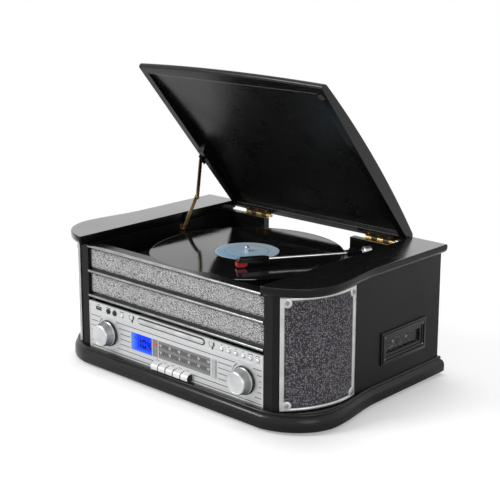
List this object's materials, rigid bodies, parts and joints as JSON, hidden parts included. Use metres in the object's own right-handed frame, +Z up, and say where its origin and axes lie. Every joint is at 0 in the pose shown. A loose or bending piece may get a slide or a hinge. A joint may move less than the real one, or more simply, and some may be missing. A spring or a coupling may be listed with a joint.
{
  "type": "stereo music centre",
  "caption": "Black wooden music centre with a domed hinged lid over a record player, curved corner speakers, radio dial, disc drawer and side cassette slot.",
  "frame": {"origin": "middle of the bounding box at floor level, with the lid open", "axes": "+Z up, +X to the right as the user faces the controls, controls face -Y"},
  "size_m": [0.523, 0.361, 0.4683],
  "materials": {
    "black_wood": "satin black stained wood",
    "black_plastic": "fine textured black",
    "rubber": "soft black",
    "silver_trim": "satin silver",
    "speaker_cloth": "flecked grey woven cloth",
    "strip_cloth": "salt and pepper woven cloth",
    "fascia": "brushed silver",
    "cone": "black",
    "lcd": "blue backlit",
    "dial_glass": "smoked clear",
    "board": "green laminate",
    "steel": "bright",
    "brass": "antique",
    "vinyl": "pressed vinyl",
    "red": "red",
    "key_silver": "pearl silver",
    "smoke": "smoked"
  },
  "bodies": {
    "cabinet": {"base_plinth": "black_wood", "rubber_feet": "rubber", "inner_partitions": "black_wood", "side_panels": "black_wood", "rear_panel": "black_wood", "front_board": "black_wood", "speaker_baffles": "black_wood", "left_wing_top": "black_wood", "right_wing_top": "black_wood", "speaker_frames": "silver_trim", "speaker_cloths": "speaker_cloth", "speaker_drivers": "cone", "cloth_strips": "strip_cloth", "trim_rails": "silver_trim", "control_fascia": "fascia", "lcd_display": "lcd", "dial_window": "dial_glass", "front_sockets": "steel", "circuit_boards": "board", "cd_mechanism": "steel", "turntable_deck": "black_plastic", "drive_motor": "steel", "drive_belt": "rubber", "tonearm_base": "black_plastic", "hinge_fixed_leaves": "brass", "stay_anchor": "brass", "cassette_bezel": "black_plastic", "cassette_mechanism": "black_plastic", "rear_sockets": "black_plastic"},
    "lid": {"lid_panel": "black_wood", "hinge_lid_leaves": "brass", "stay_lid_bracket": "brass"},
    "stay_lower": {"stay_lower_arm": "brass"},
    "stay_upper": {"stay_upper_arm": "brass"},
    "platter": {"platter": "black_plastic", "centre_spindle": "steel", "vinyl_record": "vinyl"},
    "motor_pulley": {"motor_pulley": "brass"},
    "tonearm_gimbal": {"tonearm_gimbal": "black_plastic"},
    "tonearm": {"tonearm": "silver_trim", "stylus_cartridge": "red"},
    "cue_lever": {"cue_lever": "black_plastic"},
    "speed_lever": {"speed_lever": "black_plastic"},
    "cd_drawer": {"cd_drawer": "silver_trim"},
    "cassette_door": {"cassette_door": "smoke"},
    "volume_knob": {"volume_knob": "silver_trim"},
    "tuning_knob": {"tuning_knob": "silver_trim"},
    "dial_pointer": {"dial_pointer": "red"},
    "function_key_1": {"function_key_1": "key_silver"},
    "function_key_2": {"function_key_2": "key_silver"},
    "function_key_3": {"function_key_3": "key_silver"},
    "function_key_4": {"function_key_4": "key_silver"},
    "function_key_5": {"function_key_5": "key_silver"},
    "power_button": {"power_button": "silver_trim"},
    "play_button": {"play_button": "silver_trim"},
    "stop_button": {"stop_button": "silver_trim"},
    "back_button": {"back_button": "silver_trim"},
    "skip_button": {"skip_button": "silver_trim"},
    "memory_button": {"memory_button": "silver_trim"},
    "eject_button": {"eject_button": "silver_trim"}
  },
  "joints": [
    {"name": "lid_hinge", "type": "hinge", "parent": "cabinet", "child": "lid", "pos_m": [0, 0.1738, 0.1934], "axis": [-1, 0, 0], "range_deg": [-50, 0]},
    {"name": "stay_lower_pivot", "type": "hinge", "parent": "cabinet", "child": "stay_lower", "pos_m": [-0.17985, 0.0425, 0.181], "axis": [1, 0, 0], "range_deg": [-64.93, 0.5]},
    {"name": "stay_upper_pivot", "type": "hinge", "parent": "lid", "child": "stay_upper", "pos_m": [-0.17715, 0.08211, 0.29831], "axis": [1, 0, 0], "range_deg": [-0.5, 34.98]},
    {"name": "platter_spin", "type": "hinge", "parent": "cabinet", "child": "platter", "pos_m": [-0.003, 0.00675, 0.167], "axis": [0, 0, -1], "continuous": true},
    {"name": "motor_spin", "type": "hinge", "parent": "cabinet", "child": "motor_pulley", "pos_m": [-0.09966, -0.06093, 0.167], "axis": [0, 0, -1], "continuous": true},
    {"name": "tonearm_swing", "type": "hinge", "parent": "cabinet", "child": "tonearm_gimbal", "pos_m": [0.1466, 0.08363, 0.194], "axis": [0, 0, -1], "range_deg": [-34, 10]},
    {"name": "tonearm_lift", "type": "hinge", "parent": "tonearm_gimbal", "child": "tonearm", "pos_m": [0.1466, 0.08363, 0.194], "axis": [-0.8387, 0.5446, 0], "range_deg": [0, 12]},
    {"name": "cue_lever_tilt", "type": "hinge", "parent": "cabinet", "child": "cue_lever", "pos_m": [0.175, 0.03263, 0.173], "axis": [-1, 0, 0], "range_deg": [0, 25]},
    {"name": "speed_lever_turn", "type": "hinge", "parent": "cabinet", "child": "speed_lever", "pos_m": [0.165, -0.04225, 0.164], "axis": [0, 0, 1], "range_deg": [-25, 25]},
    {"name": "cd_drawer_slide", "type": "slide", "parent": "cabinet", "child": "cd_drawer", "axis": [0, -1, 0], "range_m": [0, 0.13]},
    {"name": "cassette_flap", "type": "hinge", "parent": "cabinet", "child": "cassette_door", "pos_m": [0.24, 0.0785, 0.0886], "axis": [0, 1, 0], "range_deg": [0, 75], "stiffness_Nm_per_rad": 0.01, "springref_deg": -8.59},
    {"name": "volume_turn", "type": "hinge", "parent": "cabinet", "child": "volume_knob", "pos_m": [-0.13853, -0.1705, 0.061], "axis": [0, 1, 0], "range_deg": [-150, 150]},
    {"name": "tuning_turn", "type": "hinge", "parent": "cabinet", "child": "tuning_knob", "pos_m": [0.14695, -0.1705, 0.061], "axis": [0, 1, 0], "range_deg": [-540, 540]},
    {"name": "pointer_slide", "type": "slide", "parent": "cabinet", "child": "dial_pointer", "axis": [1, 0, 0], "range_m": [-0.052, 0.052]},
    {"name": "key_1_press", "type": "slide", "parent": "cabinet", "child": "function_key_1", "axis": [0, 1, 0], "range_m": [0, 0.003], "stiffness_N_per_m": 400, "springref_m": -0.001},
    {"name": "key_2_press", "type": "slide", "parent": "cabinet", "child": "function_key_2", "axis": [0, 1, 0], "range_m": [0, 0.003], "stiffness_N_per_m": 400, "springref_m": -0.001},
    {"name": "key_3_press", "type": "slide", "parent": "cabinet", "child": "function_key_3", "axis": [0, 1, 0], "range_m": [0, 0.003], "stiffness_N_per_m": 400, "springref_m": -0.001},
    {"name": "key_4_press", "type": "slide", "parent": "cabinet", "child": "function_key_4", "axis": [0, 1, 0], "range_m": [0, 0.003], "stiffness_N_per_m": 400, "springref_m": -0.001},
    {"name": "key_5_press", "type": "slide", "parent": "cabinet", "child": "function_key_5", "axis": [0, 1, 0], "range_m": [0, 0.003], "stiffness_N_per_m": 400, "springref_m": -0.001},
    {"name": "power_button_press", "type": "slide", "parent": "cabinet", "child": "power_button", "axis": [0, 1, 0], "range_m": [0, 0.0015], "stiffness_N_per_m": 500, "springref_m": -0.0005},
    {"name": "play_button_press", "type": "slide", "parent": "cabinet", "child": "play_button", "axis": [0, 1, 0], "range_m": [0, 0.0015], "stiffness_N_per_m": 500, "springref_m": -0.0005},
    {"name": "stop_button_press", "type": "slide", "parent": "cabinet", "child": "stop_button", "axis": [0, 1, 0], "range_m": [0, 0.0015], "stiffness_N_per_m": 500, "springref_m": -0.0005},
    {"name": "back_button_press", "type": "slide", "parent": "cabinet", "child": "back_button", "axis": [0, 1, 0], "range_m": [0, 0.0015], "stiffness_N_per_m": 500, "springref_m": -0.0005},
    {"name": "skip_button_press", "type": "slide", "parent": "cabinet", "child": "skip_button", "axis": [0, 1, 0], "range_m": [0, 0.0015], "stiffness_N_per_m": 500, "springref_m": -0.0005},
    {"name": "memory_button_press", "type": "slide", "parent": "cabinet", "child": "memory_button", "axis": [0, 1, 0], "range_m": [0, 0.0015], "stiffness_N_per_m": 500, "springref_m": -0.0005},
    {"name": "eject_button_press", "type": "slide", "parent": "cabinet", "child": "eject_button", "axis": [0, 1, 0], "range_m": [0, 0.0015], "stiffness_N_per_m": 500, "springref_m": -0.0005}
  ],
  "couplings": [
    {"joint": "stay_lower_pivot", "follows": "lid_hinge", "ratio": 1.2887},
    {"joint": "stay_upper_pivot", "follows": "lid_hinge", "ratio": -0.68962},
    {"joint": "motor_spin", "follows": "platter_spin", "ratio": 14.534},
    {"joint": "pointer_slide", "follows": "tuning_turn", "m_per_rad": 0.005464}
  ]
}
